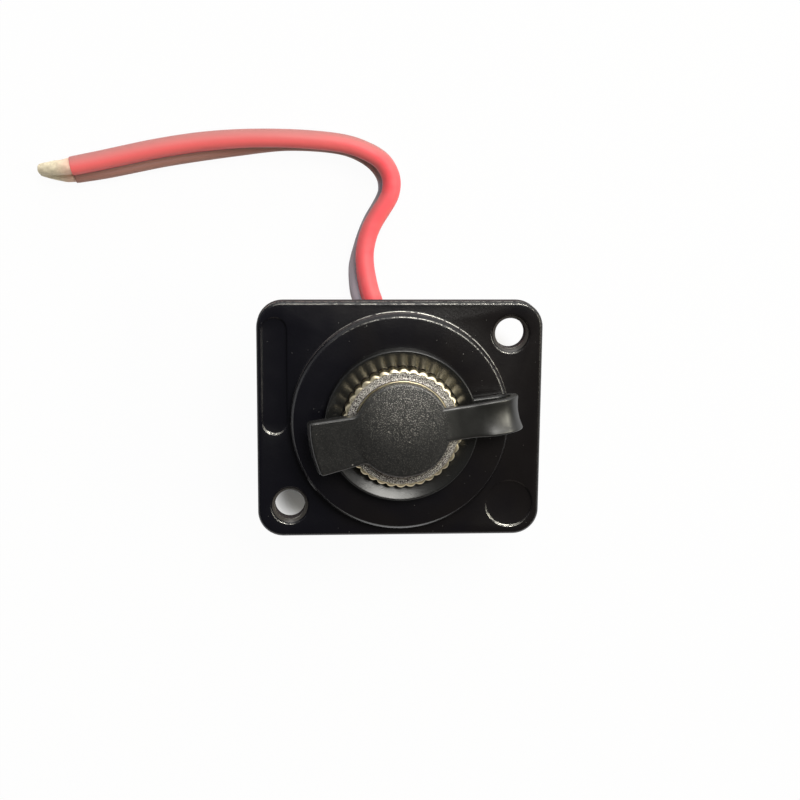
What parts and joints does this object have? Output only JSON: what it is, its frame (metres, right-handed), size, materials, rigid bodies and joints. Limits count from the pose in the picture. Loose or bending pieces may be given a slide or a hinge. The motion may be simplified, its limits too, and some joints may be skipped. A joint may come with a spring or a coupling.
{
  "type": "panel-mount dc power socket",
  "caption": "Round barrel power socket on a flat rectangular flange with diagonal screw holes, a lobed ring nut, a tethered rubber dust cap and a short twin lead with bare ends.",
  "frame": {"origin": "middle of the rear cover's flat end, which the socket rests on", "axes": "+Z along the socket's bore and out of the front, +X along the flange's width, +Y along the flange's height"},
  "size_m": [0.0558, 0.044, 0.022],
  "materials": {
    "flange_paint": "satin black coat on a cast plate",
    "cover_plastic": "moulded, fine grain",
    "cap_rubber": "matte, finely speckled",
    "ring_rubber": "satin",
    "nut_plating": "bright plating, grainy front face",
    "barrel_plating": "plated and turned",
    "contact_brass": "bright",
    "insulator_plastic": "moulded",
    "solder": "satin",
    "red_insulation": "soft sheen",
    "black_insulation": "soft sheen",
    "tinned_strands": "dull tinned copper"
  },
  "bodies": {
    "socket": {"flange_plate": "flange_paint", "rear_cover": "cover_plastic", "cap_ring": "ring_rubber", "strap_loop": "cap_rubber", "ring_nut": "nut_plating", "jack_barrel": "barrel_plating", "sealing_washer": "ring_rubber", "jack_insulator": "insulator_plastic", "centre_pin": "contact_brass", "pin_terminal": "contact_brass", "sleeve_contact": "contact_brass", "red_solder": "solder", "black_solder": "solder", "red_wire_inside": "red_insulation", "black_wire_inside": "black_insulation", "lead_grommet": "ring_rubber", "red_lead": "red_insulation", "black_lead": "black_insulation", "red_bare_end": "tinned_strands", "black_bare_end": "tinned_strands"},
    "cap": {"dust_cap": "cap_rubber"}
  },
  "joints": [
    {"name": "cap_hinge", "type": "hinge", "parent": "socket", "child": "cap", "pos_m": [0.01078, 0.00142, 0.01968], "axis": [-0.1305, 0.9914, 0], "range_deg": [0, 150], "deforming": ["strap_loop"]}
  ]
}
